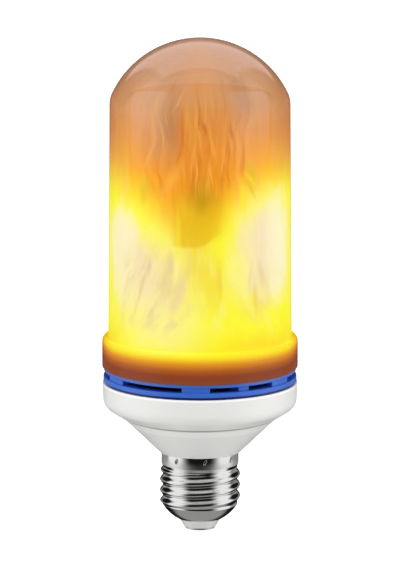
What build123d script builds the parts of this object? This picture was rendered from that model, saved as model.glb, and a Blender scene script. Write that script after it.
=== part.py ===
from build123d import *
import math
import os

# Flame effect LED bulb with a screw cap, in millimetres, +Z up.
# The origin is the centre of the contact face under the cap.
# The front looks along -Y, and an azimuth turns from the front towards +X.

# Screw cap
crest_radius = 13.1
thread_depth = 0.95
thread_pitch = 25.4 / 7
thread_height = 12.7
thread_runout = 1.4
thread_start = 71.0
thread_sections = 28
shell_wall = 0.4
lip_bore = 6.85
lip_width = 0.35
shell_bowl_height = 4.6
shell_bowl_bulge = 13.0
collar_flare = 0.45
collar_taper = 1.1
collar_height = 3.9
crimp_count = 8
crimp_radius = 0.6
crimp_length = 0.9
crimp_tilt = 30.0
crimp_drop = 1.5
crimp_turn = 7.8

# Contact and insulator
contact_radius = 4.8
contact_height = 0.5
contact_edge = 0.2
shank_radius = 1.1
shank_end = 0.5
shank_gap = 0.1
insulator_height = 2.9
insulator_foot_radius = 5.1
insulator_foot_round = 0.8
insulator_gap = 0.05
insulator_edge_gap = 2.75
insulator_rim = 1.6

# Housing
housing_radius = 31.75
housing_wall = 2.0
housing_draft = 0.15
neck_gap = 0.3
neck_wall = 1.6
neck_lift = 1.7
shoulder_step = 0.6
shoulder_round = 0.5
cone_inset = 7.05
cone_angle = 44.25
groove_width = 0.6
groove_step = 0.8
groove_depth = 0.6
bowl_rise = 3.8
bowl_edge_round = 4.0
side_height = 7.6
rib_count = 6
rib_thickness = 1.4
rib_reach = 7.5

# Vent ring
ring_inset = 0.75
ring_wall = 2.4
ring_reveal = 0.7
lower_flange = 1.6
lower_flange_reach = 0.5
upper_flange = 1.2
upper_flange_reach = 0.3
flange_round = 0.2
slot_height = 1.6
slot_count = 6
post_angle = 17.0
post_turn = -2.5
slot_rib_width = 3.6
slot_rib_inset = 0.4
spigot_depth = 2.5
spigot_wall = 1.65
floor_thickness = 1.8
wire_hole_radius = 7.5
upstand_height = 5.0
upstand_wall = 1.4
fit_gap = 0.3

# Cover
cover_overhang = 0.15
cover_collar_height = 10.4
cover_collar_wall = 2.3
cover_collar_round = 1.9
cover_collar_step = 1.95
cover_collar_bore_end = 3.5
cover_foot_chamfer = 0.4
cover_height = 77.8
cover_taper = 0.6
cover_wall = 2.0
dome_rise = 19.8
dome_foot_round = 8.0

# Lamp core
core_gap = 5.45
core_drop = 0.2
carrier_wall = 1.5
tab_width = 8.0
tab_thickness = 2.0
tab_edge_gap = 0.4
ledge_lift = 4.9
ledge_width = 1.8
ledge_thickness = 1.5
window_width = 12.0
window_height = 3.4
window_sill = 0.5
core_cap_thickness = 1.6
core_cap_round = 0.6
core_cap_skirt = 3.0
flex_thickness = 0.3
flex_gap = 0.05
flex_lift = 3.9
flex_seam_turn = 150.0
flex_seam_angle = 3.0
led_column_count = 12
led_row_count = 9
led_length = 3.5
led_width = 2.8
led_height = 0.7
led_gap = 0.02
control_board_thickness = 1.2

# Screws
screw_radius = 1.2
screw_head_radius = 2.2
screw_head_height = 1.5
screw_head_round = 0.7
screw_slot = 0.5
screw_slot_depth = 0.8
screw_hole_gap = 0.15
screw_pilot_gap = 0.05
screw_grip = 5.5
pilot_end = 0.6
boss_wall = 1.15

# Driver board and its parts
driver_board_thickness = 1.6
board_edge_gap = 2.4
boss_notch_gap = 0.4
hold_down_gap = 0.1
hold_down_radius = 1.6
hold_down_inset = 0.8
component_headroom = 1.4
pin_radius = 0.3
pin_gap = 0.1
pin_end = 1.0
can_groove = 0.3
can_groove_pitch = 0.9
can_round = 0.4
smoothing_can_radius = 5.0
smoothing_can_height = 13.0
smoothing_pin_pitch = 5.0
smoothing_place = (4.0, 1.5)
output_can_radius = 4.0
output_can_height = 8.6
output_pin_pitch = 3.5
output_place = (10.0, 9.0)
control_can_radius = 2.0
control_can_height = 5.0
control_pin_pitch = 2.0
control_can_place = (-8.0, -6.0)
film_length = 7.5
film_width = 3.6
film_height = 7.0
film_pin_pitch = 5.0
film_place = (13.0, -2.5)
inductor_radius = 3.5
inductor_height = 6.5
inductor_flange = 1.0
inductor_winding_depth = 0.6
inductor_pin_pitch = 4.0
inductor_x = 2.0
inductor_edge_gap = 5.6
core_length = 13.0
core_depth = 12.0
core_height = 6.0
core_yoke = 1.6
core_leg = 2.8
winding_margin = 0.1
winding_thickness = 1.2
bobbin_foot = 0.4
bobbin_foot_width = 1.0
bobbin_pin_pitch = 5.0
transformer_place = (-10.5, 1.0)
rectifier_size = (6.2, 4.8, 1.6)
rectifier_legs = 2
rectifier_x = -3.0
rectifier_gap = 1.2
driver_chip_size = (5.0, 4.0, 1.5)
driver_chip_legs = 4
driver_chip_place = (9.0, -11.5)
controller_size = (10.0, 4.0, 1.5)
controller_legs = 8
controller_place = (4.0, -6.0)
leg_reach = 1.0
leg_width = 0.45
leg_thickness = 0.25
resistor_size = (3.0, 1.5, 0.6)
driver_resistor_places = ((-7.0, -12.5), (-7.0, -15.0), (15.5, 3.0), (15.5, 5.5),
                          (4.0, 14.5), (4.0, 17.0))
control_resistor_places = ((-2.0, 2.0), (-2.0, 5.0), (4.0, 2.0), (4.0, 5.0), (9.0, 2.0), (9.0, 5.0))

# Fusible resistor and leads
fuse_radius = 1.7
fuse_length = 9.0
fuse_round = 0.6
fuse_stub_radius = 0.4
fuse_stub = 1.0
fuse_lift = 6.0
fuse_place = (-3.0, 0.0)
lead_radius = 0.6
lead_straight = 2.0
live_pad = (-12.0, 1.0)
neutral_pad = (-4.0, 12.5)
neutral_inset = 3.4
supply_pads = (1.7, -4.0)
supply_control_pads = (3.4, 3.0)
flex_lead_count = 4
flex_lead_pitch = 2.4
flex_lead_radius = 0.4
flex_lead_inset = 6.0
flex_lead_gap = 0.1

# Cone of the housing, as steep at any width
root_radius = crest_radius - thread_depth
cap_collar_radius = root_radius + collar_flare
shoulder_radius = cap_collar_radius + shoulder_step
cone_radius = housing_radius - cone_inset
cone_slope = math.tan(math.radians(cone_angle))

# Heights worked out from the sizes above
lip_z = contact_height + insulator_height
thread_base = lip_z + shell_bowl_height
thread_top = thread_base + thread_height
collar_base = thread_top + collar_taper
shoulder_z = collar_base + collar_height
cone_top = shoulder_z + (cone_radius - shoulder_radius) * cone_slope
bowl_base = cone_top + groove_width
side_base = bowl_base + bowl_rise
rim_z = side_base + side_height
slot_base = rim_z + ring_reveal + lower_flange
floor_z = slot_base + slot_height
cover_seat = floor_z + upper_flange
core_seat = floor_z + floor_thickness
upstand_top = cover_seat + upstand_height
cover_collar_top = cover_seat + cover_collar_height
dome_base = cover_collar_top + cover_height
apex_z = dome_base + dome_rise
carrier_top = dome_base - core_drop
ledge_top = core_seat + ledge_lift + ledge_thickness
control_top = ledge_top + control_board_thickness
flex_base = core_seat + flex_lift
flex_top = carrier_top - core_drop

# Radii worked out from the sizes above
shell_inner = root_radius - shell_wall
neck_radius = shell_inner - neck_gap
neck_bore = neck_radius - neck_wall
housing_inner = housing_radius - housing_wall
ring_radius = housing_radius - ring_inset
ring_inner = ring_radius - ring_wall
spigot_radius = housing_inner - fit_gap
cover_collar_radius = housing_radius + cover_overhang
cover_collar_bore = cover_collar_radius - cover_collar_wall
upstand_radius = cover_collar_bore - fit_gap
upstand_bore = upstand_radius - upstand_wall
cover_radius = cover_collar_radius - cover_collar_step
cover_bore = cover_radius - cover_wall
carrier_radius = cover_bore - core_gap
carrier_bore = carrier_radius - carrier_wall
flex_inner = carrier_radius + flex_gap
flex_radius = flex_inner + flex_thickness
screw_circle = (carrier_radius + upstand_bore) / 2
boss_radius = screw_radius + boss_wall

# Insulator cone inside the shell's bowl, kept inside the straight line between the bowl's ends
insulator_seat = lip_z + shell_wall + insulator_gap
insulator_edge = shell_inner - insulator_edge_gap
bowl_slope = (thread_base - lip_z - shell_wall) / (shell_inner - lip_bore)
insulator_edge_z = insulator_seat + (insulator_edge - lip_bore) * bowl_slope
insulator_top = insulator_edge_z + insulator_rim
contact_top = insulator_top + shank_end
neck_base = insulator_top + neck_lift

# Housing wall, sloped line of the bowl above the cone
bowl_radius = cone_radius + groove_step
side_radius = housing_radius - housing_draft
bowl_line_slope = bowl_rise / (side_radius - bowl_radius)
cone_lift = housing_wall * math.hypot(1, cone_slope)
bowl_lift = housing_wall * math.hypot(1, bowl_line_slope)

# Azimuths: screws that hold the ring sit behind every second slot, and the core's tabs at the posts between
slot_angle = 360 / slot_count - post_angle
slot_turn = post_turn + 180 / slot_count
ring_screw_turns = [slot_turn + 120 * i for i in range(3)]
core_screw_turns = [post_turn + 360 / slot_count + 120 * i for i in range(3)]

# Driver board, hung at the height that its tallest part leaves under the ring's floor
transformer_height = core_height + 2 * (winding_thickness + winding_margin) + bobbin_foot
tallest = max(output_can_height, film_height, inductor_height, transformer_height)
board_top = floor_z - component_headroom - tallest
board_z = board_top - driver_board_thickness

# Housing's inner face above the neck, as (radius, height) corners, and the board's edge inside it
seam_radius = cone_radius + groove_step / 2
seam_cone_z = shoulder_z + (seam_radius - shoulder_radius) * cone_slope + cone_lift
seam_bowl_z = bowl_base + (seam_radius - bowl_radius) * bowl_line_slope + bowl_lift
seam = (seam_radius, max(seam_cone_z, seam_bowl_z))
hollow_low = (neck_bore, shoulder_z + (neck_bore - shoulder_radius) * cone_slope + cone_lift)
hollow_high = (housing_inner, bowl_base + (housing_inner - bowl_radius) * bowl_line_slope + bowl_lift)
below, above = (hollow_low, seam) if board_z < seam[1] else (seam, hollow_high)
hollow_radius = below[0] + (board_z - below[1]) * (above[0] - below[0]) / (above[1] - below[1])
board_radius = min(housing_inner, hollow_radius) - board_edge_gap
foot_circle = board_radius - hold_down_inset - hold_down_radius
foot_reach = foot_circle - hold_down_radius
inductor_place = (inductor_x, inductor_radius + inductor_edge_gap - board_radius)
rectifier_place = (rectifier_x, foot_reach - rectifier_gap - leg_reach - rectifier_size[1] / 2)

UP = (Align.CENTER, Align.CENTER, Align.MIN)
DOWN = (Align.CENTER, Align.CENTER, Align.MAX)


def at(azimuth, radius, z=0):
    """A place at an azimuth, whose own -Y points away from the axis."""
    return Rot(0, 0, azimuth) * Pos(0, -radius, z)


def turned(points, rounds=None):
    """A turned solid from (radius, height) corners, some of them rounded."""
    rounds = rounds or {}
    radii = [rounds.get(corner, 0) for corner in range(len(points))]
    outline = FilletPolyline(*points, radius=radii, close=True)
    return revolve(Plane.XZ * make_face(outline), Axis.Z)


def tube(outer, inner, low, high):
    """A plain ring between two radii and two heights."""
    return turned([(inner, low), (outer, low), (outer, high), (inner, high)])


def sector(outer, inner, low, high, middle, angle):
    """Part of a ring, as wide as an angle about its middle azimuth."""
    outline = Polyline((inner, low), (outer, low), (outer, high), (inner, high), close=True)
    piece = revolve(Plane.XZ * make_face(outline), Axis.Z, revolution_arc=angle)
    return Rot(0, 0, middle - 90 - angle / 2) * piece


def group(solids):
    """Separate solids of one node."""
    return Compound(children=[solid for item in solids for solid in item.solids()])


def centre_contact():
    points = [(0, 0), (contact_radius, 0), (contact_radius, contact_height),
              (shank_radius, contact_height), (shank_radius, contact_top), (0, contact_top)]
    return turned(points, {1: contact_edge})


def cap_insulator():
    bore = shank_radius + shank_gap
    throat = lip_bore - insulator_gap
    points = [(bore, contact_height), (insulator_foot_radius, contact_height), (throat, lip_z),
              (throat, insulator_seat), (lip_bore, insulator_seat), (insulator_edge, insulator_edge_z),
              (insulator_edge, insulator_top), (bore, insulator_top)]
    return turned(points, {1: insulator_foot_round, 6: insulator_foot_round})


def thread_section(z, inset):
    """The shell's round section at a height, shifted sideways so that stacked sections form the thread."""
    into = min(z - thread_base, thread_top - z) / thread_runout
    into = max(0, min(1, into))
    shift = thread_depth / 2 * into * into * (3 - 2 * into)
    angle = math.radians(thread_start + 360 * (z - thread_base) / thread_pitch)
    place = Pos(shift * math.cos(angle), shift * math.sin(angle), z)
    return place * Circle(root_radius + shift - inset)


def thread_core(inset):
    """A solid thread form, as far inside the outer face as the inset says."""
    heights = [thread_base + thread_height * i / thread_sections for i in range(thread_sections + 1)]
    return loft([thread_section(z, inset) for z in heights])


def rolled_thread():
    """The shell's threaded length, closed by a flat ring at each end."""
    outer = thread_core(0)
    inner = thread_core(shell_wall)
    walls = outer.faces().filter_by(GeomType.PLANE, reverse=True)
    walls += inner.faces().filter_by(GeomType.PLANE, reverse=True)
    outer_ends = outer.faces().filter_by(GeomType.PLANE).sort_by(Axis.Z)
    inner_ends = inner.faces().filter_by(GeomType.PLANE).sort_by(Axis.Z)
    rings = [Face(big.outer_wire(), [small.outer_wire()]) for big, small in zip(outer_ends, inner_ends)]
    return Solid(Shell([*walls, *rings]))


def slanted_bar(radius):
    """A short bar with round ends, as a punch leaves it."""
    bar = Cylinder(radius, crimp_length)
    for end in (-crimp_length / 2, crimp_length / 2):
        bar += Pos(0, 0, end) * Sphere(radius)
    return Rot(0, crimp_tilt, 0) * bar


def screw_shell():
    lip_edge = lip_bore + lip_width
    bowl = make_face([
        Line((lip_bore, lip_z), (lip_edge, lip_z)),
        RadiusArc((lip_edge, lip_z), (root_radius, thread_base), -shell_bowl_bulge),
        Line((root_radius, thread_base), (shell_inner, thread_base)),
        RadiusArc((shell_inner, thread_base), (lip_bore, lip_z + shell_wall), shell_bowl_bulge - shell_wall),
        Line((lip_bore, lip_z + shell_wall), (lip_bore, lip_z)),
    ])
    collar = turned([
        (root_radius, thread_top), (cap_collar_radius, collar_base), (cap_collar_radius, shoulder_z),
        (cap_collar_radius - shell_wall, shoulder_z), (cap_collar_radius - shell_wall, collar_base),
        (shell_inner, thread_top)])
    shell = Part() + rolled_thread() + revolve(Plane.XZ * bowl, Axis.Z) + collar

    crimp_depth = cap_collar_radius - shell_wall - neck_radius - insulator_gap
    crimp_circle = cap_collar_radius - crimp_depth + crimp_radius
    crimp_z = shoulder_z - crimp_drop
    inside = Pos(0, 0, shoulder_z) * Cylinder(cap_collar_radius - shell_wall / 2, collar_height, align=DOWN)
    places = [at(crimp_turn + 360 / crimp_count * i, crimp_circle, crimp_z) for i in range(crimp_count)]
    for place in places:
        shell += place * slanted_bar(crimp_radius + shell_wall) & inside
    for place in places:
        shell -= place * slanted_bar(crimp_radius)
    return shell


def housing_envelope():
    """The housing's outer form, without its hollow."""
    groove_cut = groove_depth * math.sqrt(0.5)
    groove_root = (seam_radius - groove_cut, cone_top + groove_width / 2 + groove_cut)
    points = [(0, neck_base), (neck_radius, neck_base), (neck_radius, shoulder_z),
              (shoulder_radius, shoulder_z), (cone_radius, cone_top), groove_root,
              (bowl_radius, bowl_base), (side_radius, side_base), (housing_radius, rim_z), (0, rim_z)]
    return turned(points, {3: shoulder_round, 7: bowl_edge_round})


def housing_hollow():
    """The space inside the housing, open at the neck and at the rim."""
    points = [(0, neck_base), (neck_bore, neck_base), hollow_low, seam, hollow_high,
              (housing_inner, rim_z), (0, rim_z)]
    return turned(points, {2: housing_wall, 4: housing_wall})


def lamp_housing():
    envelope = housing_envelope()
    rib_inner = screw_circle - boss_radius - rib_reach
    fittings = []
    for i in range(rib_count):
        length = housing_radius - rib_inner
        rib = Box(rib_thickness, length, board_z - shoulder_z, align=(Align.CENTER, Align.MAX, Align.MIN))
        turn = core_screw_turns[0] + 360 / rib_count * i
        fittings.append(at(turn, rib_inner, shoulder_z) * rib)
    for turn in ring_screw_turns:
        boss = Cylinder(boss_radius, rim_z - shoulder_z, align=DOWN)
        fittings.append(at(turn, screw_circle, rim_z) * boss)
    housing = envelope - housing_hollow()
    for fitting in fittings:
        housing += fitting & envelope
    pilot_depth = screw_grip + pilot_end
    for turn in ring_screw_turns:
        pilot = Cylinder(screw_radius + screw_pilot_gap, pilot_depth, align=DOWN)
        housing -= at(turn, screw_circle, rim_z) * pilot
    return housing


def vent_ring():
    lower_edge = ring_radius + lower_flange_reach
    upper_edge = ring_radius + upper_flange_reach
    spigot_inner = spigot_radius - spigot_wall
    flange_z = rim_z + ring_reveal
    ring = turned([
        (spigot_inner, rim_z - spigot_depth), (spigot_radius, rim_z - spigot_depth), (spigot_radius, rim_z),
        (ring_radius, rim_z), (ring_radius, flange_z), (lower_edge, flange_z), (lower_edge, slot_base),
        (ring_radius, slot_base), (ring_radius, floor_z), (upper_edge, floor_z), (upper_edge, cover_seat),
        (upstand_radius, cover_seat), (upstand_radius, upstand_top), (upstand_bore, upstand_top),
        (upstand_bore, core_seat), (wire_hole_radius, core_seat), (wire_hole_radius, floor_z),
        (ring_inner, floor_z), (ring_inner, rim_z), (spigot_inner, rim_z)],
        {5: flange_round, 6: flange_round, 9: flange_round, 10: flange_round})
    for i in range(slot_count):
        middle = slot_turn + 360 / slot_count * i
        ring -= sector(lower_edge, ring_inner - fit_gap, slot_base, floor_z, middle, slot_angle)
    rib_radius = ring_radius - slot_rib_inset
    rib_angle = math.degrees(slot_rib_width / rib_radius)
    hold_down = board_top + hold_down_gap
    for turn in ring_screw_turns:
        ring += sector(rib_radius, ring_inner, slot_base, floor_z, turn, rib_angle)
        ring += at(turn, screw_circle, rim_z) * Cylinder(boss_radius, floor_z - rim_z, align=UP)
        ring -= at(turn, screw_circle, rim_z) * Cylinder(screw_radius + screw_hole_gap, apex_z, align=UP)
    pilot_depth = screw_grip + pilot_end
    for turn in core_screw_turns:
        ring += at(turn, foot_circle, hold_down) * Cylinder(hold_down_radius, floor_z - hold_down, align=UP)
        ring += at(turn, screw_circle, rim_z) * Cylinder(boss_radius, floor_z - rim_z, align=UP)
    for turn in core_screw_turns:
        pilot = Cylinder(screw_radius + screw_pilot_gap, pilot_depth, align=DOWN)
        ring -= at(turn, screw_circle, core_seat) * pilot
    return ring


def screw(length):
    """A pan head screw, with the underside of its head at zero and its point down."""
    points = [(0, -length), (screw_radius, screw_radius - length), (screw_radius, 0),
              (screw_head_radius, 0), (screw_head_radius, screw_head_height), (0, screw_head_height)]
    body = turned(points, {4: screw_head_round})
    slot = Box(2 * screw_head_radius - screw_slot, screw_slot, screw_slot_depth, align=DOWN)
    top = Pos(0, 0, screw_head_height)
    return body - top * slot - top * Rot(0, 0, 90) * slot


def ring_screws():
    length = core_seat - rim_z + screw_grip
    return group([at(turn, screw_circle, core_seat) * screw(length) for turn in ring_screw_turns])


def carrier_screws():
    length = tab_thickness + screw_grip
    seat = core_seat + tab_thickness
    return group([at(turn, screw_circle, seat) * screw(length) for turn in core_screw_turns])


def dome_arc(radius, base, apex):
    """The dome's outline, a round arc from its edge to the axis."""
    rise = apex - base
    arc_radius = (radius ** 2 + rise ** 2) / (2 * rise)
    half = math.asin(radius / arc_radius) / 2
    middle = (arc_radius * math.sin(half), apex - arc_radius + arc_radius * math.cos(half))
    return ThreePointArc((radius, base), middle, (0, apex))


def diffuser_cover():
    top_radius = cover_radius - cover_taper
    bore_top = top_radius - cover_wall
    arc_radius = (top_radius ** 2 + dome_rise ** 2) / (2 * dome_rise)
    inner_base = apex_z - arc_radius + math.sqrt((arc_radius - cover_wall) ** 2 - bore_top ** 2)
    step_z = upstand_top + cover_collar_bore_end
    outer = FilletPolyline(
        (cover_collar_bore, cover_seat), (cover_collar_radius, cover_seat),
        (cover_collar_radius, cover_collar_top), (cover_radius, cover_collar_top), (top_radius, dome_base),
        radius=[cover_foot_chamfer, cover_collar_round, 0])
    inner = Polyline((0, apex_z), (0, apex_z - cover_wall))
    inner_side = Polyline((bore_top, inner_base), (cover_bore, step_z), (cover_collar_bore, step_z),
                          (cover_collar_bore, cover_seat))
    outline = [outer, dome_arc(top_radius, dome_base, apex_z), inner,
               dome_arc(bore_top, inner_base, apex_z - cover_wall), inner_side]
    profile = make_face([edge for part in outline for edge in part.edges()])
    feet = [corner for corner in profile.vertices()
            if abs(corner.X - top_radius) + abs(corner.Y - dome_base) < fit_gap
            or abs(corner.X - bore_top) + abs(corner.Y - inner_base) < fit_gap]
    return revolve(Plane.XZ * fillet(feet, dome_foot_round), Axis.Z)


def led_carrier():
    carrier = tube(carrier_radius, carrier_bore, core_seat, carrier_top)
    ledge_inner = carrier_bore - ledge_width
    carrier += tube(carrier_radius, ledge_inner, ledge_top - ledge_thickness, ledge_top)
    tab_radius = upstand_bore - tab_edge_gap
    disc = Pos(0, 0, core_seat) * Cylinder(tab_radius, tab_thickness, align=UP)
    tab = Box(tab_width, tab_radius - carrier_bore - carrier_wall / 2, tab_thickness,
              align=(Align.CENTER, Align.MAX, Align.MIN))
    for turn in core_screw_turns:
        carrier += at(turn, carrier_bore + carrier_wall / 2, core_seat) * tab & disc
        hole = Cylinder(screw_radius + screw_hole_gap, tab_thickness, align=UP)
        carrier -= at(turn, screw_circle, core_seat) * hole
    window = Box(window_width, 2 * carrier_radius, window_height, align=(Align.CENTER, Align.MIN, Align.MIN))
    return carrier - Pos(0, 0, control_top + window_sill) * window


def carrier_cap():
    skirt = carrier_bore - fit_gap
    points = [(0, carrier_top), (skirt - carrier_wall, carrier_top),
              (skirt - carrier_wall, carrier_top - core_cap_skirt), (skirt, carrier_top - core_cap_skirt),
              (skirt, carrier_top), (flex_radius, carrier_top),
              (flex_radius, carrier_top + core_cap_thickness), (0, carrier_top + core_cap_thickness)]
    return turned(points, {6: core_cap_round})


def led_flex_board():
    middle = flex_seam_turn + 180
    return sector(flex_radius, flex_inner, flex_base, flex_top, middle, 360 - flex_seam_angle)


def leds():
    pitch = (flex_top - flex_base) / led_row_count
    led = Box(led_width, led_height, led_length, align=(Align.CENTER, Align.MAX, Align.CENTER))
    row_heights = [flex_base + pitch * (row + 0.5) for row in range(led_row_count)]
    turns = [flex_seam_turn + 360 / led_column_count * (column + 0.5) for column in range(led_column_count)]
    return group([at(turn, flex_radius + led_gap, z) * led for z in row_heights for turn in turns])


def pins(place, pitch, direction):
    """Where a two pin part's pins stand, either side of its place."""
    x, y = place
    if direction == "x":
        return [(x - pitch / 2, y), (x + pitch / 2, y)]
    return [(x, y - pitch / 2), (x, y + pitch / 2)]


def pin_solids(places, z, length, align):
    return [Pos(x, y, z) * Cylinder(pin_radius, length, align=align) for x, y in places]


def can(radius, height):
    """An electrolytic capacitor's can, with the rolled groove near its seal."""
    points = [(0, 0), (radius, 0), (radius, can_groove_pitch),
              (radius - can_groove, can_groove_pitch + can_groove),
              (radius, can_groove_pitch + 2 * can_groove), (radius, height), (0, height)]
    return turned(points, {1: can_round, 5: can_round})


def standing(body, place, z, pin_places, board):
    """A part on a board's top face, with its pins through the board."""
    part = Pos(*place, z) * body
    for pin in pin_solids(pin_places, z + pin_end, board + 2 * pin_end, DOWN):
        part += pin
    return part


def chip(size, legs, place, z):
    """A flat chip lying on a board, with its legs along both long sides."""
    length, width, height = size
    part = Pos(*place, z) * Box(length, width, height, align=UP)
    pitch = length / legs
    for i in range(legs):
        x = place[0] + pitch * (i + 0.5) - length / 2
        leg = Box(leg_width, width + 2 * leg_reach, leg_thickness, align=UP)
        part += Pos(x, place[1], z) * leg
    return part


def resistors(places, z):
    return group([Pos(x, y, z) * Box(*resistor_size, align=UP) for x, y in places])


def smoothing_capacitor():
    x, y = smoothing_place
    part = Pos(x, y, board_z) * Rot(180, 0, 0) * can(smoothing_can_radius, smoothing_can_height)
    pin_places = pins(smoothing_place, smoothing_pin_pitch, "y")
    for pin in pin_solids(pin_places, board_z - pin_end, driver_board_thickness + 2 * pin_end, UP):
        part += pin
    return part


def output_capacitor():
    body = can(output_can_radius, output_can_height)
    return standing(body, output_place, board_top, pins(output_place, output_pin_pitch, "x"),
                    driver_board_thickness)


def control_capacitor():
    body = can(control_can_radius, control_can_height)
    return standing(body, control_can_place, control_top,
                    pins(control_can_place, control_pin_pitch, "x"), control_board_thickness)


def film_capacitor():
    body = Box(film_width, film_length, film_height, align=UP)
    body = fillet(body.edges().filter_by(Axis.Z), can_round)
    return standing(body, film_place, board_top, pins(film_place, film_pin_pitch, "y"),
                    driver_board_thickness)


def filter_inductor():
    waist = inductor_radius - inductor_winding_depth
    flange_z = inductor_height - inductor_flange
    points = [(0, 0), (inductor_radius, 0), (inductor_radius, inductor_flange), (waist, inductor_flange),
              (waist, flange_z), (inductor_radius, flange_z), (inductor_radius, inductor_height),
              (0, inductor_height)]
    return standing(turned(points), inductor_place, board_top,
                    pins(inductor_place, inductor_pin_pitch, "y"), driver_board_thickness)


def core_middle_z():
    return board_top + bobbin_foot + winding_thickness + winding_margin + core_height / 2


def transformer_core():
    core = Box(core_length, core_depth, core_height)
    window = (core_length - core_leg - 2 * core_yoke) / 2
    for side in (-1, 1):
        x = side * (core_leg + window) / 2
        core -= Pos(x, 0, 0) * Box(window, core_depth - 2 * core_yoke, core_height)
    return Pos(*transformer_place, core_middle_z()) * core


def transformer_winding():
    opening = core_leg + 2 * winding_margin
    window = (core_length - core_leg - 2 * core_yoke) / 2
    width = core_leg + 2 * (window - winding_margin)
    depth = core_depth - 2 * core_yoke - 2 * winding_margin
    height = core_height + 2 * (winding_thickness + winding_margin)
    body = Box(width, depth, height)
    body -= Box(opening, depth, core_height + 2 * winding_margin)
    body = fillet(body.edges().filter_by(Axis.Y).group_by(Axis.Z)[-1], can_round)
    part = Pos(*transformer_place, core_middle_z()) * body
    x, y = transformer_place
    foot = Box(width, bobbin_foot_width, bobbin_foot, align=UP)
    foot_reach = (depth - bobbin_foot_width) / 2
    for side in (-1, 1):
        part += Pos(x, y + side * foot_reach, board_top) * foot
    pin_length = driver_board_thickness + 2 * bobbin_foot + pin_end
    for pin in pin_solids(transformer_pins(), board_top + 2 * bobbin_foot, pin_length, DOWN):
        part += pin
    return part


def transformer_pins():
    x, y = transformer_place
    reach = core_depth / 2 - core_yoke - winding_margin - bobbin_foot_width / 2
    return [(x + side * bobbin_pin_pitch / 2, y + end * reach) for side in (-1, 1) for end in (-1, 1)]


def driver_board():
    board = Pos(0, 0, board_z) * Cylinder(board_radius, driver_board_thickness, align=UP)
    notch = Cylinder(boss_radius + boss_notch_gap, driver_board_thickness, align=UP)
    for turn in ring_screw_turns:
        board -= at(turn, screw_circle, board_z) * notch
    holes = pins(smoothing_place, smoothing_pin_pitch, "y") + pins(output_place, output_pin_pitch, "x")
    holes += pins(film_place, film_pin_pitch, "y") + pins(inductor_place, inductor_pin_pitch, "y")
    holes += transformer_pins()
    for x, y in holes:
        board -= Pos(x, y, board_z) * Cylinder(pin_radius + pin_gap, driver_board_thickness, align=UP)
    return board


def control_board():
    radius = carrier_bore - fit_gap
    board = Pos(0, 0, ledge_top) * Cylinder(radius, control_board_thickness, align=UP)
    for x, y in pins(control_can_place, control_pin_pitch, "x"):
        board -= Pos(x, y, ledge_top) * Cylinder(pin_radius + pin_gap, control_board_thickness, align=UP)
    return board


def lead(points, radius=lead_radius):
    """An insulated wire of straight runs, its bends as large as the runs allow."""
    stops = [Vector(*point) for point in points]
    runs = [end - start for start, end in zip(stops, stops[1:])]
    radii = []
    for before, after in zip(runs, runs[1:]):
        half_turn = math.radians(before.get_angle(after)) / 2
        radii.append(0.45 * min(before.length, after.length) / math.tan(half_turn))
    path = FilletPolyline(*stops, radius=radii)
    return sweep(Plane(origin=stops[0], z_dir=runs[0]) * Circle(radius), path)


def fuse_base():
    return contact_top + fuse_lift


def fusible_resistor():
    end = fuse_length + 2 * fuse_stub
    points = [(0, 0), (fuse_stub_radius, 0), (fuse_stub_radius, fuse_stub), (fuse_radius, fuse_stub),
              (fuse_radius, end - fuse_stub), (fuse_stub_radius, end - fuse_stub),
              (fuse_stub_radius, end), (0, end)]
    return Pos(*fuse_place, fuse_base()) * turned(points, {3: fuse_round, 4: fuse_round})


def live_lead_lower():
    low = contact_top
    high = fuse_base()
    return lead([(0, 0, low), (0, 0, low + lead_straight), (*fuse_place, high - lead_straight),
                 (*fuse_place, high)])


def live_lead_upper():
    low = fuse_base() + fuse_length + 2 * fuse_stub
    return lead([(*fuse_place, low), (*fuse_place, low + lead_straight),
                 (*live_pad, board_z - lead_straight), (*live_pad, board_z)])


def neutral_lead():
    z = insulator_top + neck_lift / 2
    end = neck_radius - fit_gap
    bend = neck_bore - neutral_inset
    return lead([(0, end, z), (0, bend, z), (0, bend, shoulder_z),
                 (*neutral_pad, board_z - lead_straight), (*neutral_pad, board_z)])


def supply_lead(side):
    x, y = supply_pads
    end_x, end_y = supply_control_pads
    return lead([(side * x, y, board_top), (side * x, y, board_top + 2 * lead_straight),
                 (side * end_x, end_y, ledge_top - 2 * lead_straight), (side * end_x, end_y, ledge_top)])


def flex_leads():
    z = control_top + window_sill + window_height / 2
    wires = []
    for i in range(flex_lead_count):
        x = flex_lead_pitch * (i - (flex_lead_count - 1) / 2)
        start = flex_inner - flex_lead_inset
        end = math.sqrt(flex_inner ** 2 - x ** 2) - flex_lead_gap
        wires.append(lead([(x, start, control_top), (x, start, z), (x, end, z)], flex_lead_radius))
    return group(wires)


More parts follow.
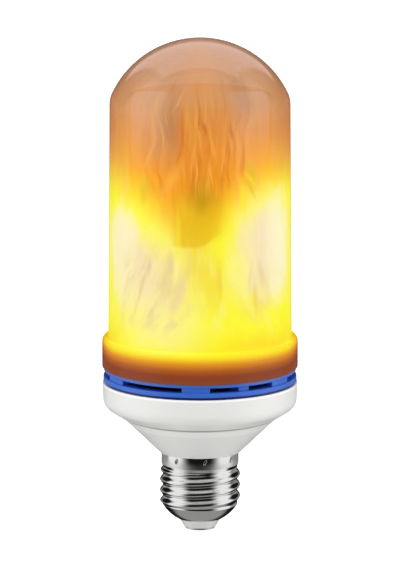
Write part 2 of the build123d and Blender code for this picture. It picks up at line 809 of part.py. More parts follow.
nodes = {
    "centre_contact": centre_contact(),
    "cap_insulator": cap_insulator(),
    "screw_shell": screw_shell(),
    "lamp_housing": lamp_housing(),
    "vent_ring": vent_ring(),
    "ring_screws": ring_screws(),
    "diffuser_cover": diffuser_cover(),
    "led_carrier": led_carrier(),
    "carrier_screws": carrier_screws(),
    "carrier_cap": carrier_cap(),
    "led_flex_board": led_flex_board(),
    "leds": leds(),
    "control_board": control_board(),
    "flame_controller_chip": chip(controller_size, controller_legs, controller_place, control_top),
    "control_resistors": resistors(control_resistor_places, control_top),
    "control_capacitor": control_capacitor(),
    "driver_board": driver_board(),
    "transformer_core": transformer_core(),
    "transformer_winding": transformer_winding(),
    "smoothing_capacitor": smoothing_capacitor(),
    "output_capacitor": output_capacitor(),
    "film_capacitor": film_capacitor(),
    "filter_inductor": filter_inductor(),
    "bridge_rectifier": chip(rectifier_size, rectifier_legs, rectifier_place, board_top),
    "driver_chip": chip(driver_chip_size, driver_chip_legs, driver_chip_place, board_top),
    "driver_resistors": resistors(driver_resistor_places, board_top),
    "fusible_resistor": fusible_resistor(),
    "live_lead_lower": live_lead_lower(),
    "live_lead_upper": live_lead_upper(),
    "neutral_lead": neutral_lead(),
    "supply_lead_positive": supply_lead(1),
    "supply_lead_negative": supply_lead(-1),
    "flex_leads": flex_leads(),
}

os.makedirs("parts", exist_ok=True)
for name, shape in nodes.items():
    export_step(shape, f"parts/{name}.step")
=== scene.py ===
import math

import bpy
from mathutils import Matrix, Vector


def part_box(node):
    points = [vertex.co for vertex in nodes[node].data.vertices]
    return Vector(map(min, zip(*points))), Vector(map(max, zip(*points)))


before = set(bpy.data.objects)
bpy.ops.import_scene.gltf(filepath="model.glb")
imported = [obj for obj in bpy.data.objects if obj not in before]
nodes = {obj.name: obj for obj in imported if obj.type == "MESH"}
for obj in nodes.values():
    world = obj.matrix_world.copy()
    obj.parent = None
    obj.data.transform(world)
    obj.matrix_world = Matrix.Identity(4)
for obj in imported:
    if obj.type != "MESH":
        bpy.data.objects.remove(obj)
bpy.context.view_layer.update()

# A millimetre in the scene's metres; the pattern's heights are in millimetres, and its azimuths in degrees
# from the front towards +X
MM = 0.001

# Cover's form that the frame's boxes don't tell
COLLAR_HEIGHT = 10.4
COLLAR_STEP = 1.95
COVER_WALL = 2.0
COVER_TAPER = 0.6
DOME_RISE = 19.8

# Height of the cap's thread, and the groove's distance under the housing's rim
THREAD_TOP = 22.0
GROOVE_DROP = 11.5

# Places read from the frame
cover_low, cover_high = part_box("diffuser_cover")
ring_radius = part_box("vent_ring")[1].x / MM
rim_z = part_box("lamp_housing")[1].z / MM
cap_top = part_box("screw_shell")[1].z / MM
apex_z = cover_high.z / MM
collar_base = cover_low.z / MM
collar_top = collar_base + COLLAR_HEIGHT
groove_z = rim_z - GROOVE_DROP
wall_radius = cover_high.x / MM - COLLAR_STEP
dome_foot_radius = wall_radius - COVER_TAPER
dome_radius = (dome_foot_radius ** 2 + DOME_RISE ** 2) / (2 * DOME_RISE)
dome_centre_z = apex_z - dome_radius


def srgb(red, green, blue):
    """A display colour from 0 to 255, as the linear colour that a shader takes."""
    display = [channel / 255 for channel in (red, green, blue)]
    return tuple(c / 12.92 if c < 0.04045 else ((c + 0.055) / 1.055) ** 2.4 for c in display) + (1.0,)


# Flame's colours, hot to cool
YELLOW = srgb(254, 250, 44)
LEMON = srgb(253, 234, 46)
WARM_YELLOW = srgb(252, 213, 38)
MARIGOLD = srgb(251, 193, 38)
ORANGE = srgb(252, 175, 40)
APRICOT = srgb(248, 164, 42)
SALMON = srgb(238, 158, 64)
BUFF = srgb(226, 158, 92)
PEACH = srgb(220, 160, 112)
TAN = srgb(216, 158, 122)
# Painted shade for the cover's sides, darker where it turns away from the front and back
RUSSET_SIDE_SHADE = srgb(176, 88, 12)
CHESTNUT_SIDE_SHADE = srgb(186, 126, 84)
GOLD = srgb(234, 192, 30)
AMBER = srgb(227, 146, 22)
TANGERINE = srgb(240, 148, 44)
COPPER = srgb(240, 166, 92)
LIGHT_ORANGE = srgb(252, 176, 70)
BURNT = srgb(210, 124, 34)
CORAL = srgb(228, 138, 82)
SHELL = srgb(244, 180, 124)
UMBER = srgb(190, 134, 80)
OLIVE = srgb(188, 144, 16)
MOSS = srgb(228, 194, 44)
SAND = srgb(242, 208, 70)
BUTTER = srgb(254, 248, 150)
PALE_GOLD = srgb(250, 232, 172)
CREAM = srgb(254, 243, 210)
IVORY = srgb(252, 252, 206)
BISQUE = srgb(240, 215, 160)
ROSE = srgb(240, 216, 192)
SMOKE = srgb(233, 212, 150)
MAUVE = srgb(231, 202, 164)
DARK_BROWN = srgb(138, 72, 48)
BROWN = srgb(142, 68, 38)
RUST = srgb(185, 98, 35)
HONEY = srgb(228, 148, 38)
WHITE = (1, 1, 1, 1)
BLACK = (0, 0, 0, 1)


class Wire:
    """An output of a node that does arithmetic by adding Math nodes to its tree."""

    def __init__(self, tree, socket):
        self.tree = tree
        self.socket = socket

    def math(self, operation, *others):
        return arithmetic(self.tree, operation, self, *others)

    def __add__(self, other):
        return self.math("ADD", other)

    def __sub__(self, other):
        return self.math("SUBTRACT", other)

    def __rsub__(self, other):
        return arithmetic(self.tree, "SUBTRACT", other, self)

    def __mul__(self, other):
        return self.math("MULTIPLY", other)

    def __truediv__(self, other):
        return self.math("DIVIDE", other)

    def times_plus(self, factor, addend):
        return self.math("MULTIPLY_ADD", factor, addend)

    def clamp(self):
        """Keeps the result of the arithmetic between 0 and 1."""
        self.socket.node.use_clamp = True
        return self


def feed(tree, value, socket):
    """Links a wire to a socket, or writes a plain value on it."""
    if isinstance(value, Wire):
        tree.links.new(value.socket, socket)
    else:
        socket.default_value = value


def arithmetic(tree, operation, *values):
    """The result of a Math node on wires or plain values."""
    node = tree.nodes.new("ShaderNodeMath")
    node.operation = operation
    for value, socket in zip(values, node.inputs):
        feed(tree, value, socket)
    return Wire(tree, node.outputs[0])


def smooth(value, low, high):
    """From 0 at low to 1 at high, easing at both ends."""
    tree = value.tree
    node = tree.nodes.new("ShaderNodeMapRange")
    node.interpolation_type = "SMOOTHSTEP"
    feed(tree, value, node.inputs["Value"])
    feed(tree, low, node.inputs["From Min"])
    feed(tree, high, node.inputs["From Max"])
    return Wire(tree, node.outputs["Result"])


def mix(factor, first, second):
    """The second colour over the first, as much as the factor says."""
    tree = factor.tree
    node = tree.nodes.new("ShaderNodeMix")
    node.data_type = "RGBA"
    feed(tree, factor, node.inputs["Factor"])
    feed(tree, first, node.inputs[6])
    feed(tree, second, node.inputs[7])
    return Wire(tree, node.outputs[2])


def ramp(value, low, high, stops):
    """A colour for a value between low and high, from (value, colour) stops."""
    tree = value.tree
    node = tree.nodes.new("ShaderNodeValToRGB")
    feed(tree, (value - low) / (high - low), node.inputs[0])
    elements = node.color_ramp.elements
    while len(elements) < len(stops):
        elements.new(0.5)
    for element, (place, colour) in zip(elements, stops):
        element.position = (place - low) / (high - low)
        element.color = colour
    return Wire(tree, node.outputs["Color"])


def noise(tree, vector, size, detail=2.0):
    """Smooth noise about 0.5 whose blobs are about as large as the size."""
    node = tree.nodes.new("ShaderNodeTexNoise")
    feed(tree, vector, node.inputs["Vector"])
    node.inputs["Scale"].default_value = 1 / size
    node.inputs["Detail"].default_value = detail
    return Wire(tree, node.outputs["Fac"])


class Place:
    """Where a shaded point is on the object, in millimetres."""

    def __init__(self, tree):
        self.tree = tree
        coordinates = tree.nodes.new("ShaderNodeTexCoord")
        scale = tree.nodes.new("ShaderNodeVectorMath")
        scale.operation = "SCALE"
        scale.inputs["Scale"].default_value = 1 / MM
        tree.links.new(coordinates.outputs["Object"], scale.inputs[0])
        self.vector = Wire(tree, scale.outputs[0])
        parts = tree.nodes.new("ShaderNodeSeparateXYZ")
        feed(tree, self.vector, parts.inputs[0])
        self.x, self.y, self.z = (Wire(tree, output) for output in parts.outputs)
        self.radius = (self.x * self.x + self.y * self.y).math("SQRT")
        self.azimuth = self.x.math("ARCTAN2", self.y * -1).math("DEGREES")

    def stretched(self, stretch, shift):
        """The place squeezed in height, which stretches noise upwards, and shifted, which changes it."""
        node = self.tree.nodes.new("ShaderNodeMapping")
        feed(self.tree, self.vector, node.inputs["Vector"])
        node.inputs["Location"].default_value = (shift, shift, shift)
        node.inputs["Scale"].default_value = (1, 1, 1 / stretch)
        return Wire(self.tree, node.outputs[0])


class Finish:
    """A procedural material on one Principled shader."""

    def __init__(self, name, **sockets):
        self.material = bpy.data.materials.new(name)
        self.material.use_nodes = True
        self.tree = self.material.node_tree
        self.shader = self.tree.nodes["Principled BSDF"]
        self.place = Place(self.tree)
        for socket, value in sockets.items():
            self.set(socket.replace("_", " "), value)

    def set(self, socket, value):
        feed(self.tree, value, self.shader.inputs[socket])

    def bump(self, height, depth, strength):
        """Relief from a height between 0 and 1, as deep as a length in millimetres."""
        node = self.tree.nodes.new("ShaderNodeBump")
        node.inputs["Strength"].default_value = strength
        node.inputs["Distance"].default_value = depth * MM
        feed(self.tree, height, node.inputs["Height"])
        self.set("Normal", Wire(self.tree, node.outputs[0]))

    def wear(self, *names):
        """Puts the finish on CAD nodes."""
        for name in names:
            data = nodes[name].data
            data.materials.clear()
            data.materials.append(self.material)


# Flame's soft patches: colour, azimuth, height, half width, half height, strength
PATCHES = [
    (GOLD, -2, 108, 12, 8, 0.8),
    (AMBER, -1, 120, 15, 11, 0.9),
    (TANGERINE, -5, 133, 13, 10, 0.6),
    (COPPER, 1, 149, 18, 9, 0.7),
    (COPPER, 15, 139, 7, 7, 0.6),
    (LIGHT_ORANGE, -42, 131, 9, 7, 0.4),
    (UMBER, -20, 138, 10, 9, 0.9),
    (UMBER, -27, 134, 9, 5, 0.4),
    (UMBER, 31, 147, 9, 6, 0.8),
    (SHELL, -42, 142, 14, 9, 0.4),
    # Painted shade: darker russet and chestnut on the cover's sides, round azimuths of 90 degrees
    (RUSSET_SIDE_SHADE, -90, 139, 26, 17, 0.75),
    (RUSSET_SIDE_SHADE, 90, 139, 26, 17, 0.75),
    (CHESTNUT_SIDE_SHADE, -95, 155, 32, 9, 0.6),
    (CHESTNUT_SIDE_SHADE, 95, 155, 32, 9, 0.6),
    (BUTTER, -90, 94, 20, 13, 0.6),
    (BUTTER, 90, 94, 20, 13, 0.6),
    (PALE_GOLD, -34, 85, 27, 15, 1.0),
    (BUTTER, -22, 71, 20, 8, 0.7),
    (ROSE, -39, 92, 8, 8, 0.6),
    (BISQUE, -20, 86, 9, 7, 0.6),
    (PALE_GOLD, 30, 99, 9, 12, 0.7),
    (ROSE, 40, 101, 8, 12, 0.6),
    (IVORY, 62, 100, 7, 10, 0.5),
    (BISQUE, 42, 86, 9, 9, 0.7),
    (SAND, -1, 93, 9, 7, 0.6),
    (SAND, 9, 86, 8, 8, 0.5),
    (BUTTER, 24, 90, 8, 7, 0.4),
    (SAND, 40, 78, 12, 5, 0.3),
    (WARM_YELLOW, 45, 64, 40, 5, 0.7),
    (WARM_YELLOW, -75, 64, 14, 5, 0.7),
]

# Flame's white-hot lobes: colour, azimuth, height, half width, half height, strength
LOBES = [
    (BUTTER, -55, 95, 22, 17, 0.5),
    (CREAM, -56, 94, 18, 15, 0.9),
    (BUTTER, 50, 97, 25, 19, 0.5),
    (CREAM, 51, 96, 21, 17, 0.9),
]

# Flame's strokes: colour, azimuths of head, middle and foot, heights of head and foot, half width, strength
STROKES = [
    (BURNT, (-10, -10.5, -10.5), (148, 124), 3.2, 0.5),
    (LIGHT_ORANGE, (-5, -6, -5.5), (146, 126), 2.2, 0.55),
    (LIGHT_ORANGE, (-4, -1, 2), (145, 125), 1.8, 0.9),
    (BURNT, (1, 2.5, 4.5), (142, 133), 1.8, 0.9),
    (LIGHT_ORANGE, (3, 7, 11), (144, 122), 2.2, 0.95),
    (BURNT, (19, 20, 20), (141, 131), 1.8, 0.9),
    (LIGHT_ORANGE, (21, 23.5, 25), (143, 120), 2.8, 0.8),
    (LIGHT_ORANGE, (16, 19.5, 18.5), (139, 125), 1.6, 0.8),
    (CORAL, (22, 27.5, 28.5), (150, 136), 2, 0.7),
    (SHELL, (-10.5, -14, -19), (151, 141), 1.8, 0.8),
    (CORAL, (-14, -12.5, -12), (143, 126), 1.8, 0.8),
    (LIGHT_ORANGE, (-27, -35, -41), (134, 119), 2.2, 0.6),
    (LIGHT_ORANGE, (-11, -18, -29), (129, 112), 6, 0.8),
    (MOSS, (-37, -37.5, -38.5), (124, 110), 6, 0.8),
    (TANGERINE, (-20, -27, -33), (132, 119), 4, 0.6),
    (BURNT, (-4.5, -4.5, -4.5), (129, 111), 2.2, 0.8),
    (BURNT, (-0.5, -1, -2), (132, 118), 2.2, 0.75),
    (LIGHT_ORANGE, (-3, -2.5, -2.5), (130, 116), 1.2, 0.8),
    (LIGHT_ORANGE, (4.5, 6, 8), (129, 116), 1.4, 0.8),
    (AMBER, (9, 9.5, 9.5), (130, 114), 2.4, 0.8),
    (AMBER, (-16.5, -15.5, -13.5), (119, 106), 4, 0.35),
    (BURNT, (27.5, 28.5, 28), (137, 120), 1.7, 0.65),
    (MOSS, (33, 34, 34.5), (130, 113), 6, 0.8),
    (MOSS, (28.5, 32.5, 40), (123, 112), 2.4, 0.8),
    (LEMON, (29, 33.5, 40), (124, 116), 2.4, 0.6),
    (LEMON, (24, 28.5, 29), (124, 104), 3.4, 0.7),
    (LEMON, (-16.5, -13.5, -15.5), (117, 88), 2.4, 0.45),
    (BUTTER, (-13.5, -14.5, -17.5), (99, 84), 2.4, 0.6),
    (SAND, (11.5, 12, 13), (96, 79), 2.6, 0.6),
    (MAUVE, (-32, -33.5, -35.5), (96, 87), 2.6, 0.9),
    (SMOKE, (-34, -39, -43), (93, 77), 2, 1.0),
    (SMOKE, (-25, -21, -18), (96, 82), 3, 0.35),
    (MAUVE, (-19.5, -18.5, -17.5), (98.5, 89), 3.6, 0.5),
    (BISQUE, (-10, -13.5, -18.5), (90, 75), 5, 0.7),
    (SMOKE, (-27, -31, -35), (82, 73), 2.4, 0.6),
    (SMOKE, (-40, -44, -48), (84, 71), 2, 0.5),
    (PALE_GOLD, (34, 26.5, 26), (113, 93), 2, 0.6),
    (PALE_GOLD, (33, 40, 34), (113, 88), 2, 0.7),
    (MAUVE, (40, 41.5, 42.5), (95, 82), 3.4, 0.6),
    (SAND, (36.5, 36.5, 37), (89, 73), 3, 0.6),
    (SMOKE, (36, 33, 33.5), (96, 81), 2, 0.5),
]

# Flame's colours by heat, which is the height in millimetres where the flame is calm
HEAT_LOW = 60
HEAT_HIGH = apex_z + 6
HEAT_STOPS = [
    (111.5, YELLOW), (115.5, LEMON), (119, WARM_YELLOW), (122.5, MARIGOLD), (126.5, ORANGE),
    (132, APRICOT), (138.5, SALMON), (145, BUFF), (152, PEACH), (160, TAN)]

# Noises that bend the pattern: stretch upwards, shift that sets each apart, size and detail
SWAY = (1, 0, 24, 2)
SWIRL = (1.6, 31, 7, 2.5)
RIPPLE = (3, 57, 2.4, 3)
HEAVE = (1, 70, 20, 2)
CURL = (1.4, 12, 18, 1)

# Noises that the flame carries upwards: stretch upwards, shift, size and detail
TONGUES = (5, 0, 6, 3)
DARK_STRANDS = (6, 90, 3.4, 2)
BRIGHT_STRANDS = (7, 140, 3, 2)
WISPS = (2.6, 190, 3.6, 4)
GLEAMS = (3.2, 260, 3.2, 3)

# How far the noises move the pattern, in degrees sideways and in millimetres upwards
SWAY_TURN = 6
SWIRL_TURN = 5
HEAVE_LIFT = 5
TONGUE_LIFT = 9
CURL_TURN = 16
STROKE_SWIRL_TURN = 3.5
STROKE_RIPPLE_TURN = 2.5
STROKE_SWIRL_LIFT = 3
STROKE_RIPPLE_LIFT = 2
LOBE_TONGUE_TURN = 24
LOBE_RIPPLE_TURN = 12
LOBE_SWIRL_LIFT = 10
LOBE_RIPPLE_LIFT = 8
PATCH_TONGUE_TURN = 10
PATCH_SWIRL_LIFT = 5
HEART_TONGUE_TURN = 8

# Flame's lean: none at its level, and growing above and below it as far as the limits
LEAN_LEVEL = 86
LEAN_BELOW = 24
LEAN_ABOVE = 26
LEAN_SHARE = 0.8

# Dark tongue that comes down between the hot sides: azimuth, height, half width, half height
TONGUE_DIP = (-6, 108, 26, 34)
TONGUE_DEPTH = 18

# Squared distance from a lobe's middle at which it has faded out, in half widths
LOBE_REACH = 1.7

# Orange body over the dark tongue: its sides, the height where its right side leans in, and where it fades
BODY_LEFT = (-14, -11.5)
BODY_RIGHT = 28.5
BODY_RIGHT_EDGE = 1.5
BODY_NARROWS_AT = 142
BODY_NARROWING = 1.3
BODY_FOOT = (116, 126)
BODY_TOP = (138, 148)
BODY_STRENGTH = 0.5

# Golden pool under the body, whose floor is higher on the right
POOL_LEFT = (-21, -10)
POOL_RIGHT = (3, 17)
POOL_FLOOR = 98
POOL_FLOOR_RISE = 4
POOL_FLOOR_TURNS = (-3, 15)
POOL_FLOOR_EDGE = 1.5
POOL_TOP = (108, 118)
POOL_STRENGTH = 0.8

# Olive heart of the pool: azimuth, height, half width, half height
HEART = (1.5, 115, 8, 6)
HEART_STRENGTH = 0.95

# Fine strands of the upper flame, strongest in its middle
STRAND_SIDE = (22, 44)
STRAND_SIDE_SHARE = 0.2
STRAND_FOOT = (112, 122)
STRAND_TOP = (142, 156)
STRAND_STEP = (0.5, 0.66)
DARK_STRENGTH = 0.65
BRIGHT_STRENGTH = 0.75

# Grey wisps and pale gleams of the lower flame, the wisps strongest on its left
WISP_FOOT = (66, 74)
WISP_TOP = (90, 103)
WISP_LEFT = (-64, -46)
WISP_RIGHT = (-16, 4)
WISP_STEP = (0.44, 0.72)
WISP_STRENGTH = 0.1
WISP_LEFT_STRENGTH = 0.55
GLEAM_STEP = (0.48, 0.74)
GLEAM_STRENGTH = 0.35

# Pale painted highlight on the cover's upper part, a painted reflection about as wide as the lamp's core,
# with a bowed top and round corners
SHEEN_HALF_WIDTH = 22.4
SHEEN_TOP = 145.0
SHEEN_BOW = 4
SHEEN_CORNER = 3.0
SHEEN_EDGE = 0.3
SHEEN_FOOT = (120, 140)
SHEEN_INNER = (7, 14)
SHEEN_STRENGTH = 0.11

# Dimming of the cover's upper part
DIM_FOOT = (116, 138)
DIM_STRENGTH = 0.16

# Collar's colours by height over its foot, higher at the lamp's sides, and where it gives way to the flame
COLLAR_STOPS = [
    (0.4, DARK_BROWN), (1.4, BROWN), (2.8, BROWN), (4.8, RUST), (6.8, HONEY), (8.4, WARM_YELLOW),
    (10.2, YELLOW)]
COLLAR_SIDE = (60, 90)
COLLAR_SIDE_LIFT = 2.2
COLLAR_FADE = (COLLAR_HEIGHT - 2.4, COLLAR_HEIGHT + 1.2)

# Border between the cover's outer and inner faces: how deep in the wall, as a share of it, how much further
# out on the collar, and how far under the collar's top that ends
WALL_SPLIT = 0.65
COLLAR_SPLIT_STEP = 1.15
COLLAR_SPLIT_DROP = 0.4

# Cover's light, tone and gloss
COVER_GLOW = 0.645
COVER_SHADE = 0.64
COVER_CLOUD = 0.04
COVER_CLOUD_SIZE = 3
COVER_ALPHA = 0.97
COVER_CLEARING = 0.17
COVER_CLEAR_FOOT = (100, 132)
COVER_GLOSS_FOOT = (136, 148)
COVER_LEAST_COAT = 0.25


def window(value, rising, falling):
    """From 0 to 1 over the rising pair of values, and back to 0 over the falling pair."""
    return smooth(value, *rising) * (1 - smooth(value, *falling))


def bell(offset, spread):
    """1 at no offset, and falling off as a bell curve of that spread."""
    across = offset / spread
    return (across * across * -0.5).math("EXPONENT")


def patch(azimuth, height, middle, level, half_width, half_height):
    """1 in the middle of a soft oval, and falling off around it."""
    across = (azimuth - middle) / half_width
    along = (height - level) / half_height
    return ((across * across + along * along) * -1).math("EXPONENT")


def lobe(azimuth, height, middle, level, half_width, half_height):
    """1 in the middle of an oval, and easing to 0 a little outside it."""
    across = (azimuth - middle) / half_width
    along = (height - level) / half_height
    return 1 - smooth(across * across + along * along, 0.0, LOBE_REACH)


def stroke(azimuth, height, azimuths, heights, half_width):
    """1 along a short curved line that runs down from its head to its foot, and 0 away from it."""
    head, middle, foot = azimuths
    high, low = heights
    along = height.times_plus(2 / (high - low), -(high + low) / (high - low))
    line = along.times_plus((head + foot) / 2 - middle, (head - foot) / 2).times_plus(along, middle)
    across = (azimuth - line) * (1 / half_width)
    near = (1 - across.times_plus(across, along * along)).clamp()
    return near * near


def front_or_back(azimuth):
    """The azimuth from the lamp's front or back, whichever is nearer, so that both look alike."""
    return azimuth.math("WRAP", 90, -90)


def drift(place, stretch, shift, size, detail):
    """Noise about 0, stretched upwards."""
    return noise(place.tree, place.stretched(stretch, shift), size, detail) - 0.5


def flowing(place, azimuth, height, stretch, shift):
    """The place as the flame carries it: drawn out upwards, and leaning towards the middle as it rises."""
    climb = (height - LEAN_LEVEL).math("MAXIMUM", -LEAN_BELOW).math("MINIMUM", LEAN_ABOVE)
    lean = (azimuth * 2).math("RADIANS").math("SINE") * climb * LEAN_SHARE
    angle = (azimuth + lean).math("RADIANS")
    across = angle.math("SINE") * wall_radius + shift
    away = angle.math("COSINE") * wall_radius
    node = place.tree.nodes.new("ShaderNodeCombineXYZ")
    for value, socket in zip((across, away, height / stretch), node.inputs):
        feed(place.tree, value, socket)
    return Wire(place.tree, node.outputs[0])


def carried(place, azimuth, height, stretch, shift, size, detail):
    """Noise about 0.5 that the flame carries upwards."""
    return noise(place.tree, flowing(place, azimuth, height, stretch, shift), size, detail)


class Motion:
    """Where a shaded point is in the moving flame, in degrees and millimetres that noise has bent."""

    def __init__(self, place):
        self.place = place
        self.swirl = drift(place, *SWIRL)
        self.ripple = drift(place, *RIPPLE)
        self.turn = place.azimuth + drift(place, *SWAY) * SWAY_TURN + self.swirl * SWIRL_TURN
        self.azimuth = front_or_back(self.turn)
        self.height = place.z + drift(place, *HEAVE) * HEAVE_LIFT
        self.tongue = carried(place, self.turn, self.height, *TONGUES) - 0.5
        stroke_turn = place.azimuth + self.swirl * STROKE_SWIRL_TURN + self.ripple * STROKE_RIPPLE_TURN
        self.stroke_azimuth = front_or_back(stroke_turn)
        self.stroke_height = place.z + self.swirl * STROKE_SWIRL_LIFT + self.ripple * STROKE_RIPPLE_LIFT


def soft_forms(motion):
    """Colours by height, with the white-hot lobes and the soft patches over them; the patches at the sides
    are painted shade.
    """
    dip = patch(motion.azimuth, motion.place.z, *TONGUE_DIP)
    heat = motion.height + motion.tongue * TONGUE_LIFT + dip * TONGUE_DEPTH
    colour = ramp(heat, HEAT_LOW, HEAT_HIGH, HEAT_STOPS)
    for paint, *where, strength in LOBES:
        azimuth = motion.azimuth + motion.tongue * LOBE_TONGUE_TURN + motion.ripple * LOBE_RIPPLE_TURN
        height = motion.height + motion.swirl * LOBE_SWIRL_LIFT + motion.ripple * LOBE_RIPPLE_LIFT
        colour = mix(lobe(azimuth, height, *where) * strength, colour, paint)
    for paint, *where, strength in PATCHES:
        azimuth = motion.azimuth + motion.tongue * PATCH_TONGUE_TURN
        height = motion.height + motion.swirl * PATCH_SWIRL_LIFT
        colour = mix(patch(azimuth, height, *where) * strength, colour, paint)
    return colour


def body_and_pool(motion, colour):
    """Over the soft forms, the orange body with its straight sides, and the golden pool under it."""
    azimuth, height = motion.stroke_azimuth, motion.stroke_height
    narrowing = (motion.place.z - BODY_NARROWS_AT).math("MAXIMUM", 0.0)
    right_edge = narrowing.times_plus(-BODY_NARROWING, BODY_RIGHT)
    left_of_edge = 1 - smooth(azimuth - right_edge, -BODY_RIGHT_EDGE, BODY_RIGHT_EDGE)
    body = smooth(azimuth, *BODY_LEFT) * left_of_edge * window(height, BODY_FOOT, BODY_TOP)
    colour = mix(body * BODY_STRENGTH, colour, TANGERINE)
    pool_floor = smooth(azimuth, *POOL_FLOOR_TURNS).times_plus(POOL_FLOOR_RISE, POOL_FLOOR)
    over_floor = smooth(height - pool_floor, 0, POOL_FLOOR_EDGE) * (1 - smooth(height, *POOL_TOP))
    pool = window(azimuth, POOL_LEFT, POOL_RIGHT) * over_floor
    colour = mix(pool * POOL_STRENGTH, colour, GOLD)
    heart = patch(motion.azimuth + motion.tongue * HEART_TONGUE_TURN, motion.height, *HEART)
    return mix(heart * HEART_STRENGTH, colour, OLIVE)


def fine_forms(motion, colour):
    """Over the flame, strands in its upper half, and wisps and gleams in its lower one."""
    place, height = motion.place, motion.height
    middle = 1 - smooth(motion.azimuth.math("ABSOLUTE"), *STRAND_SIDE)
    share = middle.times_plus(1 - STRAND_SIDE_SHARE, STRAND_SIDE_SHARE)
    upper = window(place.z, STRAND_FOOT, STRAND_TOP) * share
    curl = motion.turn + drift(place, *CURL) * CURL_TURN
    dark = smooth(carried(place, curl, height, *DARK_STRANDS), *STRAND_STEP)
    colour = mix(dark * upper * DARK_STRENGTH, colour, BURNT)
    bright = smooth(carried(place, curl, height, *BRIGHT_STRANDS), *STRAND_STEP)
    colour = mix(bright * upper * BRIGHT_STRENGTH, colour, LIGHT_ORANGE)
    lower = window(place.z, WISP_FOOT, WISP_TOP)
    left = window(motion.azimuth, WISP_LEFT, WISP_RIGHT)
    wisps = smooth(carried(place, motion.turn, height, *WISPS), *WISP_STEP)
    colour = mix(wisps * lower * left.times_plus(WISP_LEFT_STRENGTH, WISP_STRENGTH), colour, SMOKE)
    gleams = smooth(carried(place, motion.turn, height, *GLEAMS), *GLEAM_STEP)
    return mix(gleams * lower * GLEAM_STRENGTH, colour, BUTTER)


def painted_sheen(place, colour):
    """Over the flame, the pale painted highlight with its round upper corners, a painted reflection."""
    half = place.x.math("ABSOLUTE")
    front = place.azimuth.math("RADIANS").math("COSINE").math("ABSOLUTE")
    top = front.times_plus(SHEEN_BOW, SHEEN_TOP)
    beside = (half - (SHEEN_HALF_WIDTH - SHEEN_CORNER)).math("MAXIMUM", 0.0)
    over = (place.z - top + SHEEN_CORNER).math("MAXIMUM", 0.0)
    reach = (beside * beside + over * over).math("SQRT")
    shape = 1 - smooth(reach, SHEEN_CORNER - SHEEN_EDGE, SHEEN_CORNER + SHEEN_EDGE)
    shape = shape * smooth(place.z, *SHEEN_FOOT) * smooth(half, *SHEEN_INNER)
    return mix(shape * SHEEN_STRENGTH, colour, WHITE)


def flame(place):
    """The flame's colour on the cover, the same on the lamp's front and back, with a painted highlight over
    it and painted shade at its sides.
    """
    motion = Motion(place)
    colour = fine_forms(motion, body_and_pool(motion, soft_forms(motion)))
    for paint, *where, strength in STROKES:
        amount = stroke(motion.stroke_azimuth, motion.stroke_height, *where)
        colour = mix(amount * strength, colour, paint)
    # Painted highlight over the flame, and the cover's upper part dimmed
    return mix(smooth(place.z, *DIM_FOOT) * DIM_STRENGTH, painted_sheen(place, colour), BLACK)


def collar(place, colour):
    """Over the flame, the cover's collar, which darkens to brown at its foot, with no light behind it."""
    side = smooth(front_or_back(place.azimuth).math("ABSOLUTE"), *COLLAR_SIDE)
    height = place.z - collar_base - side * COLLAR_SIDE_LIFT
    shade = ramp(height, 0, COLLAR_HEIGHT, COLLAR_STOPS)
    return mix(1 - smooth(height, *COLLAR_FADE), colour, shade)


def outer_side(place):
    """1 on the cover's outer faces and 0 on its inner ones."""
    on_collar = place.z.math("LESS_THAN", collar_top - COLLAR_SPLIT_DROP)
    split = on_collar * COLLAR_SPLIT_STEP + (wall_radius - COVER_WALL * WALL_SPLIT)
    wall = place.radius.math("GREATER_THAN", split)
    over = (place.z - dome_centre_z).math("MAXIMUM", 0.0)
    reach = (place.radius * place.radius + over * over).math("SQRT")
    dome = reach.math("GREATER_THAN", dome_radius - COVER_WALL / 2)
    return wall.math("MAXIMUM", dome)


def cover_finish():
    """Amber plastic that the flame shows on, clearer and glossier towards the top."""
    finish = Finish("cover_amber", Roughness=0.4, Specular_IOR_Level=0.0, Coat_Roughness=0.05, Coat_IOR=1.5)
    place = finish.place
    colour = collar(place, flame(place))
    darkening = noise(finish.tree, place.vector, COVER_CLOUD_SIZE) * COVER_CLOUD + COVER_SHADE
    finish.set("Base Color", mix(darkening, colour, BLACK))
    finish.set("Emission Color", colour)
    finish.set("Emission Strength", COVER_GLOW)
    upper = smooth(place.z, *COVER_CLEAR_FOOT)
    finish.set("Alpha", outer_side(place) * (COVER_ALPHA - upper * COVER_CLEARING))
    glossy = smooth(place.z, *COVER_GLOSS_FOOT)
    finish.set("Coat Weight", glossy.times_plus(1 - COVER_LEAST_COAT, COVER_LEAST_COAT))
    finish.wear("diffuser_cover")


# Lit core, paler than the cover: colours by height, moved by noise
CORE_STOPS = [
    (56, srgb(252, 232, 70)), (104, srgb(252, 228, 70)), (120, srgb(246, 176, 60)),
    (132, srgb(236, 156, 78)), (144, srgb(212, 156, 112))]
CORE_LOW = 56
CORE_HIGH = 146
CORE_BLOB_SIZE = 16
CORE_BLOB_LIFT = 14
CORE_GRAIN_SIZE = 1.5
CORE_GRAIN_DEPTH = 0.03
CORE_GRAIN_TONE = (0.9, 0.85, 0.75, 1)
CORE_GRAIN_SHARE = 0.3
CORE_RELIEF_STRENGTH = 0.3

# Plastics and metals: sizes and depths of their clouds, grain and waves, in millimetres
CLOUD_SIZE = 12
CLOUD_DETAIL = 3
GRAIN_SIZE = 0.6
GRAIN_DEPTH = 0.02
WAVE_SIZE = 6.0
WAVE_DEPTH = 0.01
RELIEF_STRENGTH = 0.5
ROUGHNESS_SWING = 0.5

# Cap: its roughness, and how much duller the plain band over the thread is
CAP_ROUGHNESS = 0.05
CAP_DULLING = 0.36
CAP_DULL_EDGE = 0.6

